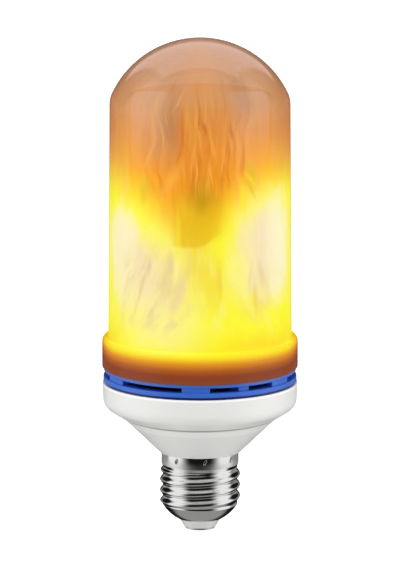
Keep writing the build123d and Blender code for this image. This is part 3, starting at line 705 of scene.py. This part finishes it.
# Housing, in heights from its groove: painted highlight band under it, and the spread of the painted shadow
# in the groove
HIGHLIGHT_BAND_FOOT = (-3.0, -2.4)
HIGHLIGHT_BAND_TOP = (-0.4, 0.0)
HIGHLIGHT_BAND_STRENGTH = 0.5
GROOVE_SHADOW_SPREAD = 0.25

# Edges on the housing and the ring, from the housing's rim, the cover's foot and the ring's outside
# Painted highlight on the housing's arris at the rim
ARRIS_HIGHLIGHT = (-0.9, -0.5)
# Painted shadow in the gap over the housing's rim
RIM_GAP_SHADOW = (0.75, 1.0)
# Painted reflection: greyer blue on the ring's top, under the cover's foot
UNDER_COVER_REFLECTION = (-1.0, -0.3)
SLOT_DEPTH = (-1.2, -0.8)


def core_finish(name, brightness, *wearers):
    """What the diodes light inside the cover, the diodes too."""
    finish = Finish(name, Roughness=0.5)
    place = finish.place
    height = place.z + (noise(finish.tree, place.vector, CORE_BLOB_SIZE) - 0.5) * CORE_BLOB_LIFT
    colour = ramp(height, CORE_LOW, CORE_HIGH, CORE_STOPS)
    grain = noise(finish.tree, place.vector, CORE_GRAIN_SIZE)
    finish.set("Base Color", mix(grain * CORE_GRAIN_SHARE, colour, CORE_GRAIN_TONE))
    finish.set("Emission Color", colour)
    finish.set("Emission Strength", brightness)
    finish.bump(grain, CORE_GRAIN_DEPTH, CORE_RELIEF_STRENGTH)
    finish.wear(*wearers)


def cloudy(finish, colour, shade):
    """A tone that drifts between two colours."""
    return mix(noise(finish.tree, finish.place.vector, CLOUD_SIZE, CLOUD_DETAIL), colour, shade)


def moulded_grain(finish):
    """The fine grain of moulded plastic."""
    finish.bump(noise(finish.tree, finish.place.vector, GRAIN_SIZE), GRAIN_DEPTH, RELIEF_STRENGTH)


def plastic(name, colour, shade, wearers, roughness=0.35, coat=0.0):
    """Moulded plastic or resin, with a faint cloudy tone and a fine grain."""
    finish = Finish(name, Roughness=roughness, Coat_Weight=coat)
    finish.set("Base Color", cloudy(finish, colour, shade))
    moulded_grain(finish)
    finish.wear(*wearers)


def metal(name, colour, shade, wearers, roughness):
    """Plated metal with faint tone and very shallow waves in its surface."""
    finish = Finish(name, Metallic=1.0)
    wave = noise(finish.tree, finish.place.vector, WAVE_SIZE, CLOUD_DETAIL)
    finish.set("Base Color", mix(wave, colour, shade))
    finish.set("Roughness", wave * roughness * ROUGHNESS_SWING + roughness * (1 - ROUGHNESS_SWING / 2))
    finish.bump(wave, WAVE_DEPTH, RELIEF_STRENGTH)
    finish.wear(*wearers)
    return finish


def cap_finish():
    """Bright plating, duller towards the foot of the plain band over the thread."""
    finish = metal("cap_metal", srgb(232, 232, 230), srgb(224, 224, 222), ["screw_shell"], CAP_ROUGHNESS)
    dull = window(finish.place.z, (THREAD_TOP - CAP_DULL_EDGE, THREAD_TOP), (THREAD_TOP, cap_top))
    finish.set("Roughness", dull.times_plus(CAP_DULLING, CAP_ROUGHNESS))


def housing_finish():
    """White plastic, with painted shadow in the groove, a painted highlight band under it and a painted
    highlight on the arris at the rim.
    """
    finish = Finish("housing_white", Roughness=0.32)
    over_groove = finish.place.z - groove_z
    colour = cloudy(finish, srgb(233, 233, 231), srgb(229, 229, 227))
    # Painted highlight: a lighter band under the groove
    band = window(over_groove, HIGHLIGHT_BAND_FOOT, HIGHLIGHT_BAND_TOP)
    colour = mix(band * HIGHLIGHT_BAND_STRENGTH, colour, srgb(246, 246, 244))
    # Painted shadow in the groove
    colour = mix(bell(over_groove, GROOVE_SHADOW_SPREAD), colour, srgb(150, 150, 148))
    # Painted highlight on the arris at the rim
    colour = mix(smooth(finish.place.z - rim_z, *ARRIS_HIGHLIGHT), colour, srgb(252, 252, 252))
    finish.set("Base Color", colour)
    moulded_grain(finish)
    finish.wear("lamp_housing")


def ring_finish():
    """Blue plastic, with painted shadow in the gap over the housing, a greyer painted reflection on its top
    under the cover, and purer inside its slots.
    """
    finish = Finish("ring_blue", Roughness=0.3)
    place = finish.place
    colour = cloudy(finish, srgb(56, 108, 206), srgb(46, 96, 196))
    # Painted reflection: greyer blue on the top under the cover
    colour = mix(smooth(place.z - collar_base, *UNDER_COVER_REFLECTION), colour, srgb(84, 108, 178))
    inside = 1 - smooth(place.radius - ring_radius, *SLOT_DEPTH)
    colour = mix(inside, colour, srgb(52, 92, 214))
    # Painted shadow in the gap over the housing's rim
    gap = 1 - smooth(place.z - rim_z, *RIM_GAP_SHADOW)
    colour = mix(gap, colour, srgb(14, 34, 110))
    finish.set("Base Color", colour)
    moulded_grain(finish)
    finish.wear("vent_ring")


def dress():
    """Puts a finish on every CAD node."""
    cover_finish()
    housing_finish()
    ring_finish()
    core_finish("flex_board", 0.4, "led_flex_board")
    core_finish("led_lens", 0.45, "leds")
    core_finish("core_white", 0.3, "led_carrier", "carrier_cap")
    plastic("cap_insulator", srgb(246, 246, 244), srgb(240, 240, 238), ["cap_insulator"], 0.25)
    cap_finish()
    metal("contact_metal", srgb(226, 226, 222), srgb(216, 216, 212), ["centre_contact"], 0.45)
    metal("screw_steel", srgb(200, 200, 200), srgb(180, 180, 182), ["ring_screws", "carrier_screws"], 0.3)
    plastic("board_green", srgb(38, 108, 62), srgb(30, 92, 52), ["control_board", "driver_board"], coat=0.5)
    chips = ["flame_controller_chip", "control_resistors", "bridge_rectifier", "driver_chip",
             "driver_resistors"]
    plastic("chip_black", srgb(38, 38, 40), srgb(30, 30, 32), chips, 0.5)
    cans = ["control_capacitor", "smoothing_capacitor", "output_capacitor"]
    plastic("can_sleeve", srgb(34, 40, 66), srgb(28, 32, 54), cans, 0.25)
    plastic("film_red", srgb(168, 62, 40), srgb(148, 50, 34), ["film_capacitor"], 0.25)
    plastic("ferrite", srgb(66, 66, 70), srgb(54, 54, 58), ["transformer_core", "filter_inductor"], 0.6)
    plastic("winding_tape", srgb(226, 188, 58), srgb(208, 170, 46), ["transformer_winding"], 0.3)
    plastic("fuse_sleeve", srgb(62, 122, 90), srgb(52, 106, 76), ["fusible_resistor"], 0.45)
    reds = ["live_lead_lower", "live_lead_upper", "supply_lead_positive"]
    plastic("lead_red", srgb(186, 28, 24), srgb(168, 22, 20), reds, 0.45)
    plastic("lead_black", srgb(36, 36, 36), srgb(28, 28, 28), ["neutral_lead", "supply_lead_negative"], 0.45)
    plastic("lead_white", srgb(222, 222, 214), srgb(210, 210, 202), ["flex_leads"], 0.45)


# Studio, in metres and, for its walls, degrees
OBJECT_MIDDLE = Vector((0, 0, 0.08))
STUDIO_RADIUS = 1.6
STUDIO_STEP = 3
FLOOR_SIZE = 6.0
FLOOR_COLOUR = (0.8, 0.8, 0.8, 1)
FLOOR_GLOW = 0.8
WORLD_LEVEL = 0.5

# Studio walls: tones, and the angles over which each one eases
DARK_TONE = 0.01
FRONT_CEILING = 0.28
FRONT_CEILING_FOOT = (34, 52)
FRONT_GROUND = 0.32
FRONT_GROUND_TOP = (46, 60)
BACK_WALL = 0.3
BACK_WALL_LEVEL = -8
BACK_WALL_HALF_HEIGHT = (10, 18)
BACK_WALL_END = (148, 166)
BACK_GROUND = 0.32
BACK_GROUND_TOP = (40, 56)
SIDE_BOX_FRONT = (24, 66)
SIDE_BOX_BACK = (100, 118)
SIDE_BOX_HALF_HEIGHT = (46, 60)

# Studio's box over the back: tone, lowest elevation, and edges as parts of a unit vector
OVERHEAD_BOX = 1.35
OVERHEAD_ELEVATION = 15
OVERHEAD_SIDE = (0.5, 0.56)
OVERHEAD_NEAR = (0.06, 0.12)
OVERHEAD_FAR = (0.84, 0.92)

# Lamps: name, azimuth, elevation, distance, width, height, power in watts
LAMPS = [
    ("left_lamp", -70, 15, 1.2, 0.6, 0.9, 6),
    ("right_lamp", 70, 15, 1.2, 0.6, 0.9, 6),
    ("top_lamp", 0, 70, 1.3, 0.8, 0.8, 7),
]

# Camera, in metres and degrees; its sensor in millimetres
CAMERA_ELEVATION = 11
CAMERA_DISTANCE = 2.5
CAMERA_TARGET = Vector((0, 0, 0.0808))
SEEN_HEIGHT = 0.1855
SENSOR_HEIGHT = 36
SIGHT_LIMIT = 20


def direction(azimuth, elevation):
    """A unit vector towards an azimuth, from the front towards +X, and an elevation."""
    turn, tilt = math.radians(azimuth), math.radians(elevation)
    return Vector((math.sin(turn) * math.cos(tilt), -math.cos(turn) * math.cos(tilt), math.sin(tilt)))


def eased(value, low, high):
    """From 0 at low to 1 at high, easing at both ends."""
    share = min(1, max(0, (value - low) / (high - low)))
    return share * share * (3 - 2 * share)


def studio_tone(azimuth, elevation):
    """How light the studio is in a direction: dark behind the camera, a soft white box on each side, grey
    at the back and underneath, and a brighter box above the back."""
    side = abs(azimuth)
    if side < 90:
        ceiling = FRONT_CEILING * eased(elevation, *FRONT_CEILING_FOOT)
        tone = DARK_TONE + ceiling + FRONT_GROUND * eased(-elevation, *FRONT_GROUND_TOP)
    else:
        level = abs(elevation - BACK_WALL_LEVEL)
        wall = BACK_WALL * (1 - eased(level, *BACK_WALL_HALF_HEIGHT)) * (1 - eased(side, *BACK_WALL_END))
        tone = DARK_TONE + wall + BACK_GROUND * eased(-elevation, *BACK_GROUND_TOP)
    boxes = eased(side, *SIDE_BOX_FRONT) ** 2 * (1 - eased(side, *SIDE_BOX_BACK))
    boxes *= 1 - eased(abs(elevation), *SIDE_BOX_HALF_HEIGHT)
    tone += (1 - tone) * boxes
    if elevation > OVERHEAD_ELEVATION:
        way = direction(azimuth, elevation)
        above = (1 - eased(abs(way.x), *OVERHEAD_SIDE)) * eased(way.y, *OVERHEAD_NEAR)
        above *= 1 - eased(way.y, *OVERHEAD_FAR)
        tone += (OVERHEAD_BOX - tone) * above
    return tone


def studio():
    """A room round the object that only reflections see."""
    columns = 360 // STUDIO_STEP
    rows = 180 // STUDIO_STEP
    points, faces, tones = [], [], []
    for row in range(rows + 1):
        for column in range(columns):
            azimuth = column * STUDIO_STEP - 180
            elevation = row * STUDIO_STEP - 90
            points.append(OBJECT_MIDDLE + direction(azimuth, elevation) * STUDIO_RADIUS)
            tones.append(studio_tone(azimuth, elevation))
    for row in range(rows):
        for column in range(columns):
            corner = row * columns + column
            beside = row * columns + (column + 1) % columns
            faces.append((corner, beside, beside + columns, corner + columns))
    mesh = bpy.data.meshes.new("studio_walls")
    mesh.from_pydata(points, [], faces)
    attribute = mesh.attributes.new("tone", "FLOAT", "POINT")
    for item, tone in zip(attribute.data, tones):
        item.value = tone
    walls = bpy.data.objects.new("studio_walls", mesh)
    bpy.context.scene.collection.objects.link(walls)
    mesh.materials.append(wall_material())
    walls.visible_camera = False
    walls.visible_diffuse = False
    walls.visible_shadow = False
    walls.visible_transmission = False


def wall_material():
    """Shines as strongly as the mesh's tone says."""
    material = bpy.data.materials.new("studio_walls")
    material.use_nodes = True
    tree = material.node_tree
    tree.nodes.clear()
    tone = tree.nodes.new("ShaderNodeAttribute")
    tone.attribute_name = "tone"
    emission = tree.nodes.new("ShaderNodeEmission")
    tree.links.new(tone.outputs["Fac"], emission.inputs["Strength"])
    output = tree.nodes.new("ShaderNodeOutputMaterial")
    tree.links.new(emission.outputs[0], output.inputs["Surface"])
    return material


def seen_rays(tree):
    """1 for rays from the camera, a reflection or a clear surface, and 0 for light that falls on things."""
    path = tree.nodes.new("ShaderNodeLightPath")
    direct, reflected, clear = (Wire(tree, path.outputs[f"Is {kind} Ray"])
                                for kind in ("Camera", "Glossy", "Transmission"))
    return direct.math("MAXIMUM", reflected).math("MAXIMUM", clear)


def white_world():
    """White where it is seen, and a plain level of light all round."""
    world = bpy.data.worlds.new("studio_white")
    bpy.context.scene.world = world
    world.use_nodes = True
    tree = world.node_tree
    background = tree.nodes["Background"]
    background.inputs["Color"].default_value = WHITE
    feed(tree, seen_rays(tree) * (1 - WORLD_LEVEL) + WORLD_LEVEL, background.inputs["Strength"])


def white_floor():
    """A white floor that keeps a soft shadow of the object."""
    half = FLOOR_SIZE / 2
    corners = [(-half, -half, 0), (half, -half, 0), (half, half, 0), (-half, half, 0)]
    mesh = bpy.data.meshes.new("floor")
    mesh.from_pydata(corners, [], [(0, 1, 2, 3)])
    floor = bpy.data.objects.new("floor", mesh)
    bpy.context.scene.collection.objects.link(floor)
    material = bpy.data.materials.new("floor_white")
    material.use_nodes = True
    tree = material.node_tree
    shader = tree.nodes["Principled BSDF"]
    shader.inputs["Base Color"].default_value = FLOOR_COLOUR
    shader.inputs["Roughness"].default_value = 1.0
    shader.inputs["Specular IOR Level"].default_value = 0.0
    shader.inputs["Emission Color"].default_value = WHITE
    feed(tree, seen_rays(tree) * FLOOR_GLOW, shader.inputs["Emission Strength"])
    mesh.materials.append(material)
    floor.visible_glossy = False


def softbox(name, azimuth, elevation, distance, width, height, power):
    """A soft lamp that faces the object and isn't seen in it."""
    data = bpy.data.lights.new(name, "AREA")
    data.shape = "RECTANGLE"
    data.size = width
    data.size_y = height
    data.energy = power
    lamp = bpy.data.objects.new(name, data)
    bpy.context.scene.collection.objects.link(lamp)
    way = direction(azimuth, elevation)
    lamp.location = OBJECT_MIDDLE + way * distance
    lamp.rotation_mode = "QUATERNION"
    lamp.rotation_quaternion = way.to_track_quat("Z", "Y")
    lamp.visible_glossy = False
    lamp.visible_camera = False


def camera():
    """The photograph's view: a little above the front, from far away."""
    data = bpy.data.cameras.new("camera")
    data.sensor_fit = "VERTICAL"
    data.sensor_height = SENSOR_HEIGHT
    data.lens = SENSOR_HEIGHT * CAMERA_DISTANCE / SEEN_HEIGHT
    data.clip_end = SIGHT_LIMIT
    eye = bpy.data.objects.new("camera", data)
    bpy.context.scene.collection.objects.link(eye)
    way = direction(0, CAMERA_ELEVATION)
    eye.location = CAMERA_TARGET + way * CAMERA_DISTANCE
    eye.rotation_mode = "QUATERNION"
    eye.rotation_quaternion = way.to_track_quat("Z", "Y")
    bpy.context.scene.camera = eye


def light():
    """Sets the white surroundings, the studio and the lamps."""
    white_world()
    white_floor()
    studio()
    for lamp in LAMPS:
        softbox(*lamp)


bpy.context.scene.view_settings.view_transform = "Standard"
camera()
dress()
light()
